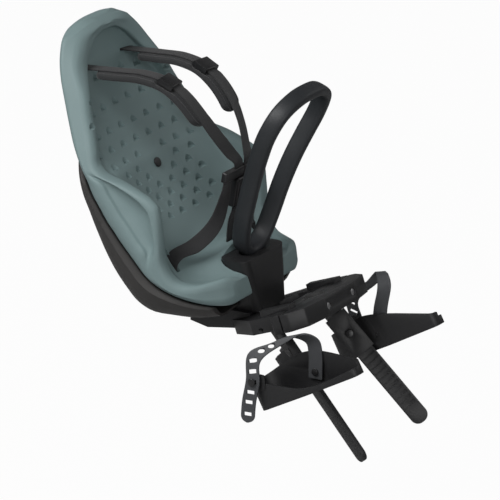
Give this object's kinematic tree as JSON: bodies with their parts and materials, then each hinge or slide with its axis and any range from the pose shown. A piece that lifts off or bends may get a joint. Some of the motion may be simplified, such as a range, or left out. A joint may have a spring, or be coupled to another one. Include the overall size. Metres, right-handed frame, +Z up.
{
  "type": "front child bike seat",
  "caption": "Front child bike seat: a padded bucket with harness and grip loop, a clamp bracket for the steerer and foot rests that slide on rails.",
  "frame": {"origin": "centre of the stem clamp on the steerer axis", "axes": "+X the bike's left, -Y the way the bike rides, +Z up with the bike level"},
  "size_m": [0.3116, 0.513, 0.5612],
  "materials": {
    "pad_foam": "matte grey-teal moulded foam",
    "shell_plastic": "matte black",
    "black_plastic": "matte black",
    "grip_rubber": "dark slate, soft touch",
    "strap_rubber": "matte grey",
    "shim_rubber": "matte black",
    "webbing": "woven black",
    "shoulder_foam": "dark slate padded cloth",
    "button_plastic": "satin red",
    "bracket_metal": "satin black",
    "steel": "bright"
  },
  "bodies": {
    "seat": {"seat_pad": "pad_foam", "seat_shell": "shell_plastic", "pad_rivet": "black_plastic", "grip_handle": "grip_rubber", "handle_base": "black_plastic", "handle_screws": "steel", "mount_carriage": "black_plastic", "carriage_bolts": "steel", "bracket_front": "bracket_metal", "bracket_rear": "bracket_metal", "clamp_shim": "shim_rubber", "clamp_bolts": "steel", "clamp_nuts": "steel", "rail_pins": "steel", "crotch_strap": "webbing", "strap_anchors": "black_plastic", "buckle_housing": "black_plastic", "leg_rail_left": "black_plastic", "leg_rail_right": "black_plastic", "shoulder_strap_left": "webbing", "shoulder_strap_right": "webbing", "shoulder_pad_left": "shoulder_foam", "shoulder_pad_right": "shoulder_foam", "strap_adjuster_left": "black_plastic", "strap_adjuster_right": "black_plastic", "hip_strap_left": "webbing", "hip_strap_right": "webbing", "buckle_tongue_left": "black_plastic", "buckle_tongue_right": "black_plastic"},
    "footrest_left": {"foot_cup_left": "black_plastic", "foot_strap_left": "strap_rubber", "strap_stud_left": "black_plastic", "strap_rivet_left": "black_plastic"},
    "footrest_right": {"foot_cup_right": "black_plastic", "foot_strap_right": "strap_rubber", "strap_stud_right": "black_plastic", "strap_rivet_right": "black_plastic"},
    "latch_left": {"foot_latch_left": "black_plastic"},
    "latch_right": {"foot_latch_right": "black_plastic"},
    "buckle_push": {"buckle_button": "button_plastic"},
    "bail": {"release_bail": "steel"}
  },
  "joints": [
    {"name": "footrest_slide_left", "type": "slide", "parent": "seat", "child": "footrest_left", "axis": [0.0922, -0.6906, -0.7173], "range_m": [0, 0.09]},
    {"name": "latch_press_left", "type": "slide", "parent": "footrest_left", "child": "latch_left", "axis": [-0.8434, -0.4371, 0.3124], "range_m": [0, 0.004], "stiffness_N_per_m": 600},
    {"name": "footrest_slide_right", "type": "slide", "parent": "seat", "child": "footrest_right", "axis": [-0.0922, -0.6906, -0.7173], "range_m": [0, 0.09]},
    {"name": "latch_press_right", "type": "slide", "parent": "footrest_right", "child": "latch_right", "axis": [0.8434, -0.4371, 0.3124], "range_m": [0, 0.004], "stiffness_N_per_m": 600},
    {"name": "buckle_press", "type": "slide", "parent": "seat", "child": "buckle_push", "axis": [0, 0.9863, 0.165], "range_m": [0, 0.0025], "stiffness_N_per_m": 1200},
    {"name": "bail_swing", "type": "hinge", "parent": "seat", "child": "bail", "pos_m": [0, 0.182, -0.038], "axis": [1, 0, 0], "range_deg": [-15, 90]}
  ]
}
